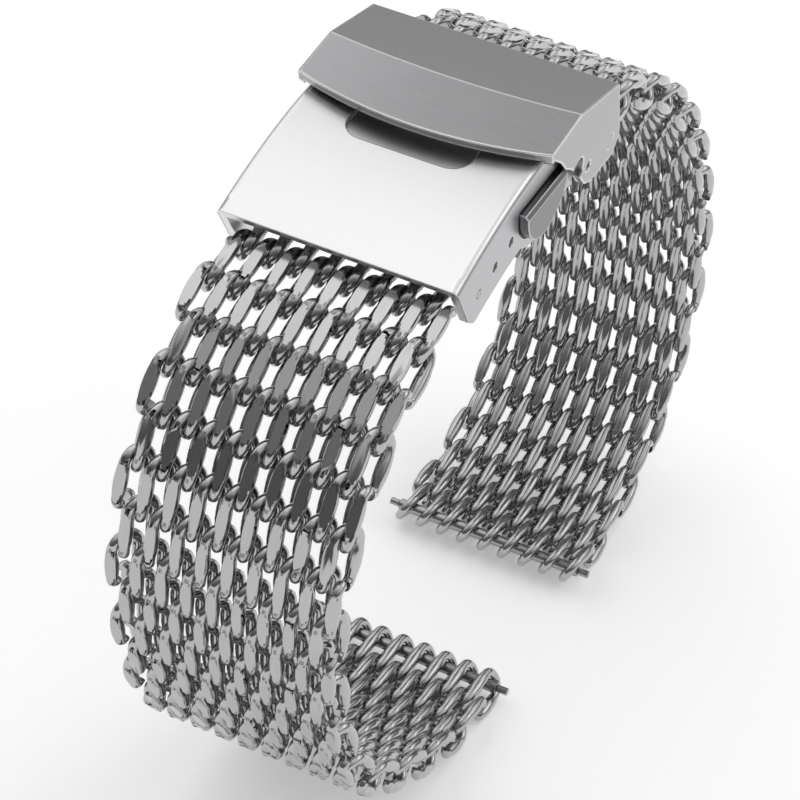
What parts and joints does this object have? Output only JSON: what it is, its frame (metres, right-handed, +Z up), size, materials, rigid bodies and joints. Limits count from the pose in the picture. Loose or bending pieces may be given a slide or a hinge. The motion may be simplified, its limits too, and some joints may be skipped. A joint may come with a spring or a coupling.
{
  "type": "mesh watch band with folding clasp",
  "caption": "Closed watch band of interlinked steel wire mesh with a folding push-button clasp, a hinged safety flap, adjusting holes and spring bars at both lug ends.",
  "frame": {"origin": "bottom centre of the closed band's bounding box, below the loop", "axes": "+X across the band, +Y from the near strap's side to the far one, +Z up from the gap between the lug ends to the clasp"},
  "size_m": [0.0246, 0.0954, 0.0745],
  "materials": {
    "cover_steel": "fine brushed",
    "flap_steel": "fine satin",
    "blade_steel": "satin",
    "button_steel": "satin",
    "mesh_wire": "polished wire with brushed outer faces",
    "pin_steel": "polished"
  },
  "bodies": {
    "cover": {"clasp_cover": "cover_steel", "button_guide": "blade_steel", "cover_pin": "pin_steel", "adjust_bar": "pin_steel"},
    "button_left_body": {"button_left": "button_steel"},
    "button_right_body": {"button_right": "button_steel"},
    "inner_blade_body": {"inner_blade": "blade_steel"},
    "outer_blade_body": {"outer_blade": "blade_steel", "catch_lug": "blade_steel", "blade_pin": "pin_steel", "flap_pin": "pin_steel"},
    "flap_body": {"safety_flap": "flap_steel"},
    "adjust_tip_left_body": {"adjust_tip_left": "pin_steel"},
    "adjust_tip_right_body": {"adjust_tip_right": "pin_steel"},
    "front_lug_tip_left_body": {"front_lug_tip_left": "pin_steel"},
    "front_lug_tip_right_body": {"front_lug_tip_right": "pin_steel"},
    "back_lug_tip_left_body": {"back_lug_tip_left": "pin_steel"},
    "back_lug_tip_right_body": {"back_lug_tip_right": "pin_steel"},
    "front_strap_1": {"front_mesh_01": "mesh_wire", "front_mesh_02": "mesh_wire"},
    "front_strap_2": {"front_mesh_03": "mesh_wire", "front_mesh_04": "mesh_wire"},
    "front_strap_3": {"front_mesh_05": "mesh_wire", "front_mesh_06": "mesh_wire"},
    "front_strap_4": {"front_mesh_07": "mesh_wire", "front_mesh_08": "mesh_wire"},
    "front_strap_5": {"front_mesh_09": "mesh_wire", "front_mesh_10": "mesh_wire"},
    "front_strap_6": {"front_mesh_11": "mesh_wire", "front_mesh_12": "mesh_wire", "front_lug_bar": "pin_steel"},
    "back_strap_1": {"back_mesh_01": "mesh_wire", "back_mesh_02": "mesh_wire"},
    "back_strap_2": {"back_mesh_03": "mesh_wire", "back_mesh_04": "mesh_wire"},
    "back_strap_3": {"back_mesh_05": "mesh_wire", "back_mesh_06": "mesh_wire"},
    "back_strap_4": {"back_mesh_07": "mesh_wire", "back_mesh_08": "mesh_wire"},
    "back_strap_5": {"back_mesh_09": "mesh_wire", "back_mesh_10": "mesh_wire"},
    "back_strap_6": {"back_mesh_11": "mesh_wire", "back_mesh_12": "mesh_wire"},
    "back_strap_7": {"back_mesh_13": "mesh_wire", "back_lug_bar": "pin_steel"}
  },
  "joints": [
    {"name": "button_left_press", "type": "slide", "parent": "cover", "child": "button_left_body", "axis": [1, 0, 0], "range_m": [0, 0.0008], "stiffness_N_per_m": 2500, "springref_m": -0.0008},
    {"name": "button_right_press", "type": "slide", "parent": "cover", "child": "button_right_body", "axis": [-1, 0, 0], "range_m": [0, 0.0008], "stiffness_N_per_m": 2500, "springref_m": -0.0008},
    {"name": "flap_hinge", "type": "hinge", "parent": "outer_blade_body", "child": "flap_body", "pos_m": [0, 0.00056, 0.06697], "axis": [-1, 0, 0], "range_deg": [0, 60]},
    {"name": "inner_blade_hinge", "type": "hinge", "parent": "cover", "child": "inner_blade_body", "pos_m": [0, -0.00745, 0.06781], "axis": [1, 0, 0], "range_deg": [0, 43.3]},
    {"name": "outer_blade_hinge", "type": "hinge", "parent": "inner_blade_body", "child": "outer_blade_body", "pos_m": [0, -0.02091, 0.06477], "axis": [-1, 0, 0], "range_deg": [0, 43.3]},
    {"name": "adjust_tip_left_slide", "type": "slide", "parent": "cover", "child": "adjust_tip_left_body", "axis": [1, 0, 0], "range_m": [0, 0.0011], "stiffness_N_per_m": 1000, "springref_m": -0.001},
    {"name": "adjust_tip_right_slide", "type": "slide", "parent": "cover", "child": "adjust_tip_right_body", "axis": [-1, 0, 0], "range_m": [0, 0.0011], "stiffness_N_per_m": 1000, "springref_m": -0.001},
    {"name": "front_lug_tip_left_slide", "type": "slide", "parent": "front_strap_6", "child": "front_lug_tip_left_body", "axis": [1, 0, 0], "range_m": [0, 0.001], "stiffness_N_per_m": 1000, "springref_m": -0.001},
    {"name": "front_lug_tip_right_slide", "type": "slide", "parent": "front_strap_6", "child": "front_lug_tip_right_body", "axis": [-1, 0, 0], "range_m": [0, 0.001], "stiffness_N_per_m": 1000, "springref_m": -0.001},
    {"name": "back_lug_tip_left_slide", "type": "slide", "parent": "back_strap_7", "child": "back_lug_tip_left_body", "axis": [1, 0, 0], "range_m": [0, 0.001], "stiffness_N_per_m": 1000, "springref_m": -0.001},
    {"name": "back_lug_tip_right_slide", "type": "slide", "parent": "back_strap_7", "child": "back_lug_tip_right_body", "axis": [-1, 0, 0], "range_m": [0, 0.001], "stiffness_N_per_m": 1000, "springref_m": -0.001},
    {"name": "front_strap_hinge_1", "type": "hinge", "parent": "cover", "child": "front_strap_1", "pos_m": [0, -0.0258, 0.0648], "axis": [1, 0, 0], "range_deg": [-4, 10]},
    {"name": "front_strap_hinge_2", "type": "hinge", "parent": "front_strap_1", "child": "front_strap_2", "pos_m": [0, -0.04021, 0.05767], "axis": [-1, 0, 0], "range_deg": [-4, 14]},
    {"name": "front_strap_hinge_3", "type": "hinge", "parent": "front_strap_2", "child": "front_strap_3", "pos_m": [0, -0.04623, 0.04243], "axis": [1, 0, 0], "range_deg": [-14, 2]},
    {"name": "front_strap_hinge_4", "type": "hinge", "parent": "front_strap_3", "child": "front_strap_4", "pos_m": [0, -0.04199, 0.02626], "axis": [-1, 0, 0], "range_deg": [-9, 9]},
    {"name": "front_strap_hinge_5", "type": "hinge", "parent": "front_strap_4", "child": "front_strap_5", "pos_m": [0, -0.03181, 0.01309], "axis": [1, 0, 0], "range_deg": [-11, 7]},
    {"name": "front_strap_hinge_6", "type": "hinge", "parent": "front_strap_5", "child": "front_strap_6", "pos_m": [0, -0.01733, 0.00463], "axis": [-1, 0, 0], "range_deg": [-11, 7]},
    {"name": "back_strap_hinge_1", "type": "hinge", "parent": "outer_blade_body", "child": "back_strap_1", "pos_m": [0, 0.00056, 0.06697], "axis": [-1, 0, 0], "range_deg": [-3, 10]},
    {"name": "back_strap_hinge_2", "type": "hinge", "parent": "back_strap_1", "child": "back_strap_2", "pos_m": [0, 0.01632, 0.06408], "axis": [1, 0, 0], "range_deg": [-9, 9]},
    {"name": "back_strap_hinge_3", "type": "hinge", "parent": "back_strap_2", "child": "back_strap_3", "pos_m": [0, 0.03001, 0.05443], "axis": [-1, 0, 0], "range_deg": [-8, 10]},
    {"name": "back_strap_hinge_4", "type": "hinge", "parent": "back_strap_3", "child": "back_strap_4", "pos_m": [0, 0.04071, 0.04155], "axis": [1, 0, 0], "range_deg": [-9, 8]},
    {"name": "back_strap_hinge_5", "type": "hinge", "parent": "back_strap_4", "child": "back_strap_5", "pos_m": [0, 0.04622, 0.02584], "axis": [-1, 0, 0], "range_deg": [-12, 6]},
    {"name": "back_strap_hinge_6", "type": "hinge", "parent": "back_strap_5", "child": "back_strap_6", "pos_m": [0, 0.04212, 0.00991], "axis": [1, 0, 0], "range_deg": [-2, 15]},
    {"name": "back_strap_hinge_7", "type": "hinge", "parent": "back_strap_6", "child": "back_strap_7", "pos_m": [0, 0.028, 0.00161], "axis": [-1, 0, 0], "range_deg": [-15, 2]}
  ],
  "couplings": [
    {"joint": "inner_blade_hinge", "follows": "flap_hinge", "ratio": 0.72},
    {"joint": "outer_blade_hinge", "follows": "flap_hinge", "ratio": 0.72}
  ]
}
